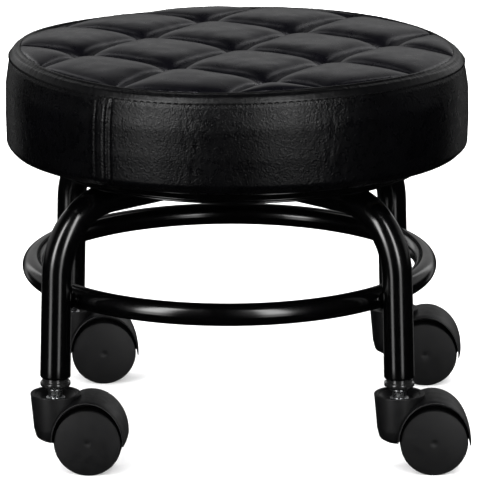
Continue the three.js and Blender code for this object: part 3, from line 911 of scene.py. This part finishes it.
def caster_housing_mesh():
    """The hood over both wheels, the wall between them and the open cup round the stem."""
    half_outline = [(HOOD_CREST, 6.0, 14.0), (HOOD_CREST - 0.4, HOOD_HALF - 4.5, 5.0),
                    (HOOD_LIP, HOOD_HALF, 0.5), (0.4, HOOD_HALF, 0.0)]
    mirrored = [(radius, -along, fillet) for radius, along, fillet in half_outline[::-1]]
    blank = filleted(mirrored + half_outline, closed=True, steps=4)
    start, end = (math.radians(angle) for angle in HOOD_ARC)
    piece = outward(new_object("caster_housing", *arc_solid(blank, start, end, 56)))
    rim = CUP_RADIUS - CUP_WALL
    cup = filleted([(0, 22.5), (9.5, 22.5, 4), (14.6, 25.5, 4), (16.5, 33, 5), (CUP_RADIUS, CUP_RIM_Z, 0.5),
                    (rim, CUP_RIM_Z, 0.4), (rim - 0.6, CUP_RIM_Z - 1.5, 0.5), (0, CUP_RIM_Z - 1.5)])
    points, faces = turned(cup, 72, closed=False)
    boolean(piece, outward(new_object("cup", points, faces)), "UNION")
    tall = Matrix.Translation(AXLE.translation) @ Matrix.Diagonal((*HOOD_SHAPE, 1)) @ AXLE.to_3x3().to_4x4()
    for side in (-1, 1):
        span = sorted((side * WEB_HALF, side * 40))
        boolean(piece, cylinder("wheel_room", HOOD_INNER, *span, 90, tall), "DIFFERENCE")
    room = [(0, CUP_FLOOR_Z), (11.5, CUP_FLOOR_Z, 1.0), (rim - 0.3, CUP_RIM_Z - 0.4),
            (rim + 0.3, CUP_RIM_Z + 9), (0, CUP_RIM_Z + 9)]
    points, faces = turned(filleted(room), 64, closed=False)
    boolean(piece, outward(new_object("room", points, faces)), "DIFFERENCE")
    boolean(piece, cylinder("stem_room", 4.6, CUP_RIM_Z - 12, CUP_RIM_Z, 32), "DIFFERENCE")
    boolean(piece, cylinder("hub", 7.0, -WEB_HALF + 0.1, WEB_HALF - 0.1, 40, AXLE), "UNION")
    boolean(piece, cylinder("pin_room", 3.3, -30, 30, 24, AXLE), "DIFFERENCE")
    mesh = piece.data
    bpy.data.objects.remove(piece)
    return mesh


def wheel_points():
    """A domed disc with a small dimple at its centre, on the far side of the housing."""
    tread, inner, face = WHEEL_RADIUS, WEB_HALF + 0.4, 19.3
    rim = tread - 0.8
    dome = [(rim * k / 12, face - 1.9 * (k / 12) ** 2) for k in range(12, 1, -1)]
    corners = [(0, 14.5), (3.3, 14.5), (3.3, inner, 0.2), (tread - 1.2, inner, 0.8),
               (tread, inner + 1.4, 1.0),
               (tread, face - 2.9, 0.9), *dome, (1.9, face - 0.1), (1.0, face - 0.4), (0, face - 0.45)]
    return turned(filleted(corners, steps=6), 96, closed=False)


def copy_of(mesh, name, matrix):
    copied = mesh.copy()
    scaled = Matrix(matrix)
    scaled.translation *= MM
    copied.transform(scaled)
    piece = bpy.data.objects.new(name, copied)
    bpy.context.scene.collection.objects.link(piece)
    return piece


def caster(corner, housing):
    place = caster_place(corner)
    piece = copy_of(housing, f"housing_{corner}", place)
    piece.data.polygons.foreach_set("use_smooth", [True] * len(piece.data.polygons))
    piece.data.set_sharp_from_angle(angle=math.radians(32))
    finish_piece(piece, f"caster_{corner}", MATERIALS["nylon"], [f"caster_housing_{corner}"])
    points, faces = wheel_points()
    for side, flip in (("far", Matrix.Identity(4)), ("near", Matrix.Rotation(math.pi, 4, "X"))):
        at = place @ AXLE @ flip
        wheel = outward(new_object(f"wheel_{side}_disc_{corner}", placed(points, at), faces))
        finish_piece(wheel, f"wheel_{side}_{corner}", MATERIALS["nylon"],
                     [f"wheel_{side}_{corner}"])


# ---- CAD nodes that stay ------------------------------------------------------------------------
def dress(node, material, bevel=0.0):
    """Gives a CAD node its material, and rounds its edges where they show."""
    piece = frame["nodes"][node]
    piece.data.materials.clear()
    piece.data.materials.append(MATERIALS[material])
    if bevel:
        modifier = piece.modifiers.new("edges", "BEVEL")
        modifier.width, modifier.segments, modifier.limit_method = bevel * MM, 2, "ANGLE"


# ---- studio -------------------------------------------------------------------------------------
def camera():
    """A view from the front, a little above the stool and far away."""
    elevation, azimuth, roll = math.radians(14.91), math.radians(0.92), math.radians(-0.165)
    target = Vector((FRAME_X, 0, 132.0)) * MM
    distance = 3.7
    points_per_mm, picture_points = 1.304, 480    # the picture's scale at the target, and its width
    shift_right, shift_up = 8.1 * MM, 13.46 * MM  # where it is aimed, seen from the target
    back = Vector((math.sin(azimuth) * math.cos(elevation), -math.cos(azimuth) * math.cos(elevation),
                   math.sin(elevation)))
    right = Vector((math.cos(azimuth), math.sin(azimuth), 0))
    up = back.cross(right)
    data = bpy.data.cameras.new("camera")
    data.sensor_width = 36.0
    data.lens = points_per_mm * distance / MM / picture_points * data.sensor_width
    data.clip_end = 100
    piece = bpy.data.objects.new("camera", data)
    bpy.context.scene.collection.objects.link(piece)
    piece.location = target + back * distance
    aim = target + right * shift_right + up * shift_up
    look = (piece.location - aim).normalized()
    side = up.cross(look).normalized()
    turned_view = Matrix((side, look.cross(side), look)).transposed()
    piece.rotation_euler = (turned_view @ Matrix.Rotation(roll, 3, "Z")).to_euler()
    bpy.context.scene.camera = piece


def softbox(name, azimuth, elevation, distance, size, radiance):
    """A rectangular light aimed at the stool. Azimuth 0 is in front and 90 to the right."""
    azimuth, elevation = math.radians(azimuth), math.radians(elevation)
    back = Vector((math.sin(azimuth) * math.cos(elevation), -math.cos(azimuth) * math.cos(elevation),
                   math.sin(elevation)))
    data = bpy.data.lights.new(name, "AREA")
    data.shape, data.size, data.size_y = "RECTANGLE", size[0], size[1]
    data.energy = radiance * size[0] * size[1] * math.pi
    lamp = bpy.data.objects.new(name, data)
    bpy.context.scene.collection.objects.link(lamp)
    lamp.location = Vector((0, 0, 0.15)) + back * distance
    lamp.rotation_euler = back.to_track_quat("Z", "Y").to_euler()
    return lamp


# The upright strips of light: azimuth and half width in degrees, and strength.
STRIPS = ((-42.0, 11.0, 3.0), (26.0, 10.0, 2.6), (150.0, 6.0, 0.3), (-150.0, 6.0, 0.3))


def world():
    """A dark studio with upright strips of light, seen only in reflections, and a pale backdrop."""
    made = bpy.data.worlds.new("studio")
    made.use_nodes = True
    bpy.context.scene.world = made
    tree = made.node_tree
    nodes, link = tree.nodes, tree.links.new
    split = nodes.new("ShaderNodeSeparateXYZ")
    link(nodes.new("ShaderNodeTexCoord").outputs["Generated"], split.inputs[0])
    x, y, z = split.outputs

    def math_node(operation, a, b=None):
        node = nodes.new("ShaderNodeMath")
        node.operation = operation
        for socket, value in zip(node.inputs, (a, b)):
            if hasattr(value, "is_linked"):
                link(value, socket)
            elif value is not None:
                socket.default_value = value
        return node.outputs[0]

    def ramp(value, start, end, low, high):
        node = nodes.new("ShaderNodeMapRange")
        node.interpolation_type = "SMOOTHSTEP"
        for key, number in zip(RANGE_SOCKETS, (start, end, low, high)):
            node.inputs[key].default_value = number
        link(value, node.inputs["Value"])
        return node.outputs[0]

    level = math_node("SQRT", math_node("ADD", math_node("MULTIPLY", x, x), math_node("MULTIPLY", y, y)))
    room = ramp(z, -0.3, 0.5, 0.004, 0.010)
    sky_height = math_node("MULTIPLY", ramp(z, -0.04, 0.12, 0, 1), ramp(z, 0.28, 0.7, 1, 0))
    low_sky = math_node("MULTIPLY", ramp(y, -0.1, 0.4, 0, 0.40), sky_height)
    total = math_node("ADD", room, low_sky)
    foot, head = ramp(z, -0.34, -0.27, 0, 1.2), ramp(z, 0.79, 0.87, 1, 0)
    upright = math_node("MULTIPLY", math_node("MULTIPLY", foot, head), ramp(z, -0.06, 0.3, 1, 3.4))
    for azimuth, half, strength in STRIPS:
        a = math.radians(azimuth)
        across, ahead = math_node("MULTIPLY", x, math.sin(a)), math_node("MULTIPLY", y, -math.cos(a))
        facing = math_node("ADD", across, ahead)
        cosine = math_node("DIVIDE", facing, level)
        outer, inner = math.cos(math.radians(half)), math.cos(math.radians(half / 3))
        edge = ramp(cosine, outer, inner, 0, strength)
        total = math_node("ADD", total, math_node("MULTIPLY", edge, upright))
    seen = nodes.new("ShaderNodeLightPath").outputs["Is Camera Ray"]
    dark, pale = nodes["Background"], nodes.new("ShaderNodeBackground")
    link(total, dark.inputs["Strength"])
    dark.inputs["Color"].default_value = (1, 1, 1, 1)
    pale.inputs["Color"].default_value = (0.95, 0.95, 0.95, 1)
    mix = nodes.new("ShaderNodeMixShader")
    link(seen, mix.inputs[0])
    link(dark.outputs[0], mix.inputs[1])
    link(pale.outputs[0], mix.inputs[2])
    link(mix.outputs[0], nodes["World Output"].inputs["Surface"])


def floor():
    mesh = bpy.data.meshes.new("floor")
    half = 40.0
    corners = [(-half, -half, 0), (half, -half, 0), (half, half, 0), (-half, half, 0)]
    mesh.from_pydata(corners, [], [(0, 1, 2, 3)])
    piece = bpy.data.objects.new("floor", mesh)
    bpy.context.scene.collection.objects.link(piece)
    m = Nodes("floor_paint", Roughness=0.9, Specular_IOR_Level=0.1)
    m.tint(m.noise(900), (0.86, 0.86, 0.86), (0.88, 0.88, 0.88))
    mesh.materials.append(m.material)
    piece.visible_glossy = False


def studio():
    bpy.context.scene.view_settings.view_transform = "Standard"
    softbox("fill_top", 0, 90, 6.0, (7.0, 7.0), 3.6).visible_glossy = False
    for azimuth in (0, 90, 180, 270):
        softbox(f"fill_{azimuth}", azimuth, 20, 5.0, (9.0, 3.4), 3.0).visible_glossy = False
    floor()
    world()


camera()
quilted_panel()
quilt_stitches()
seam_strip()
side_band()
band_stitches()
foam_block()
seat_board()
dust_cover()
seat_pan()
foot_ring()
housing = caster_housing_mesh()
for corner in CORNERS:
    leg(corner)
    leg_end(corner)
    caster(corner, housing)
    dress(f"caster_axle_{corner}", "zinc_steel")
dress("swivel_upper_plate", "zinc_steel", 0.6)
dress("swivel_lower_plate", "zinc_steel", 0.6)
dress("swivel_rivet", "zinc_steel", 0.3)
dress("ball_race", "bearing_steel")
for number in range(1, 5):
    dress(f"seat_screw_{number}", "zinc_steel")
studio()
